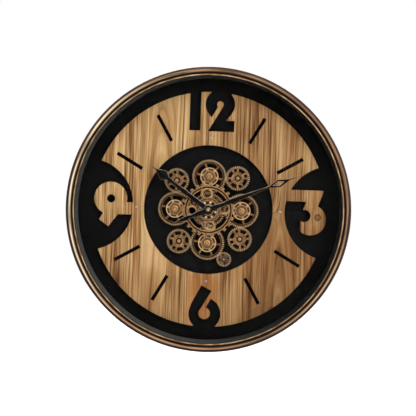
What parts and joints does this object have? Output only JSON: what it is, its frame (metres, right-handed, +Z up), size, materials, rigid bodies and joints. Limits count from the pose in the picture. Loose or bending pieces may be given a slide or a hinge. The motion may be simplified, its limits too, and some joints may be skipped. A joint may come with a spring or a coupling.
{
  "type": "wall clock",
  "caption": "Round glazed wall clock with a wooden dial sawn out round its numerals, black hands and a train of meshing copper gears turning in the open middle.",
  "frame": {"origin": "centre of the bounding box, on the axis of the hands halfway between wall and frame crest", "axes": "+Z up to the twelve, +X right as seen from the front, +Y into the wall, so the dial faces -Y"},
  "size_m": [0.6, 0.07, 0.6],
  "materials": {
    "frame_paint": "antique copper paint",
    "bead_paint": "worn gold paint",
    "clear_glass": "clear",
    "black_plastic": "matte",
    "black_board": "matte black paint",
    "dial_wood": "satin veneer",
    "zinc_steel": "zinc plated",
    "axle_brass": "satin",
    "copper_gear": "worn copper paint",
    "gold_gear": "worn gold paint",
    "ball_chrome": "polished",
    "hand_black": "satin black",
    "nut_brass": "polished",
    "shaft_steel": "ground",
    "white_plastic": "moulded",
    "board_green": "coated",
    "coil_copper": "lacquered wire",
    "cell_wrap": "printed sleeve without marks",
    "washer_rubber": "matte"
  },
  "bodies": {
    "case": {"outer_frame": "frame_paint", "glass_bead": "bead_paint", "glass_pane": "clear_glass", "inner_sleeve": "black_plastic", "dial_backing": "black_board", "wood_dial": "dial_wood", "dial_screws": "zinc_steel", "backing_brackets": "zinc_steel", "wood_screws": "zinc_steel", "hanger_plate": "zinc_steel", "medium_axles": "axle_brass", "medium_caps": "gold_gear", "axle_washers": "zinc_steel", "medium_nuts": "zinc_steel", "corner_axles": "axle_brass", "corner_caps": "gold_gear", "corner_nuts": "zinc_steel", "movement_case": "black_plastic", "movement_cover": "black_plastic", "movement_board": "board_green", "movement_coil": "coil_copper", "dry_cells": "cell_wrap", "cell_contacts": "shaft_steel", "threaded_bush": "axle_brass", "rubber_washer": "washer_rubber", "bush_nut": "axle_brass", "bush_spacer": "axle_brass", "bush_collar": "axle_brass", "motor_case": "black_plastic", "motor_cover": "black_plastic", "motor_gearbox": "white_plastic", "motor_can": "shaft_steel"},
    "centre_wheels": {"centre_gear": "copper_gear", "wheel_spacer": "copper_gear", "centre_wheel": "gold_gear", "hub_flange": "gold_gear", "hub_balls": "ball_chrome"},
    "medium_top": {"medium_gear_top": "copper_gear", "medium_ring_top": "gold_gear"},
    "medium_right": {"medium_gear_right": "copper_gear", "medium_ring_right": "gold_gear"},
    "medium_bottom": {"medium_gear_bottom": "copper_gear", "medium_ring_bottom": "gold_gear"},
    "medium_left": {"medium_gear_left": "copper_gear", "medium_ring_left": "gold_gear"},
    "corner_top": {"corner_gear_top": "copper_gear"},
    "corner_right": {"corner_gear_right": "copper_gear"},
    "corner_bottom": {"corner_gear_bottom": "copper_gear"},
    "corner_left": {"corner_gear_left": "copper_gear"},
    "drive": {"drive_pinion": "copper_gear", "motor_shaft": "shaft_steel"},
    "minute": {"minute_hand": "hand_black", "minute_shaft": "shaft_steel", "cannon_pinion": "white_plastic", "hand_nut": "nut_brass"},
    "hour": {"hour_hand": "hand_black", "hour_pipe": "axle_brass", "hour_wheel": "white_plastic"},
    "motion": {"motion_wheel": "white_plastic", "set_knob": "white_plastic"}
  },
  "joints": [
    {"name": "centre_spin", "type": "hinge", "parent": "case", "child": "centre_wheels", "pos_m": [0, 0, 0], "axis": [0, 1, 0], "continuous": true},
    {"name": "medium_top_spin", "type": "hinge", "parent": "case", "child": "medium_top", "pos_m": [0, 0, 0.07104], "axis": [0, 1, 0], "continuous": true},
    {"name": "medium_right_spin", "type": "hinge", "parent": "case", "child": "medium_right", "pos_m": [0.07104, 0, 0], "axis": [0, 1, 0], "continuous": true},
    {"name": "medium_bottom_spin", "type": "hinge", "parent": "case", "child": "medium_bottom", "pos_m": [0, 0, -0.07104], "axis": [0, 1, 0], "continuous": true},
    {"name": "medium_left_spin", "type": "hinge", "parent": "case", "child": "medium_left", "pos_m": [-0.07104, 0, 0], "axis": [0, 1, 0], "continuous": true},
    {"name": "corner_top_spin", "type": "hinge", "parent": "case", "child": "corner_top", "pos_m": [0.06066, 0, 0.06935], "axis": [0, 1, 0], "continuous": true},
    {"name": "corner_right_spin", "type": "hinge", "parent": "case", "child": "corner_right", "pos_m": [0.06935, 0, -0.06066], "axis": [0, 1, 0], "continuous": true},
    {"name": "corner_bottom_spin", "type": "hinge", "parent": "case", "child": "corner_bottom", "pos_m": [-0.06066, 0, -0.06935], "axis": [0, 1, 0], "continuous": true},
    {"name": "corner_left_spin", "type": "hinge", "parent": "case", "child": "corner_left", "pos_m": [-0.06935, 0, 0.06066], "axis": [0, 1, 0], "continuous": true},
    {"name": "drive_spin", "type": "hinge", "parent": "case", "child": "drive", "pos_m": [0.03704, 0, -0.1051], "axis": [0, 1, 0], "continuous": true},
    {"name": "minute_spin", "type": "hinge", "parent": "case", "child": "minute", "pos_m": [0, 0, 0], "axis": [0, 1, 0], "continuous": true},
    {"name": "hour_spin", "type": "hinge", "parent": "case", "child": "hour", "pos_m": [0, 0, 0], "axis": [0, 1, 0], "continuous": true},
    {"name": "motion_spin", "type": "hinge", "parent": "case", "child": "motion", "pos_m": [0.012, 0, 0], "axis": [0, 1, 0], "continuous": true}
  ],
  "couplings": [
    {"joint": "medium_top_spin", "follows": "centre_spin", "ratio": -1},
    {"joint": "medium_right_spin", "follows": "centre_spin", "ratio": -1},
    {"joint": "medium_bottom_spin", "follows": "centre_spin", "ratio": -1},
    {"joint": "medium_left_spin", "follows": "centre_spin", "ratio": -1},
    {"joint": "corner_top_spin", "follows": "centre_spin", "ratio": 1.4118},
    {"joint": "corner_right_spin", "follows": "centre_spin", "ratio": 1.4118},
    {"joint": "corner_bottom_spin", "follows": "centre_spin", "ratio": 1.4118},
    {"joint": "corner_left_spin", "follows": "centre_spin", "ratio": 1.4118},
    {"joint": "drive_spin", "follows": "centre_spin", "ratio": 2.4},
    {"joint": "hour_spin", "follows": "minute_spin", "ratio": 0.083333},
    {"joint": "motion_spin", "follows": "minute_spin", "ratio": -0.33333}
  ]
}
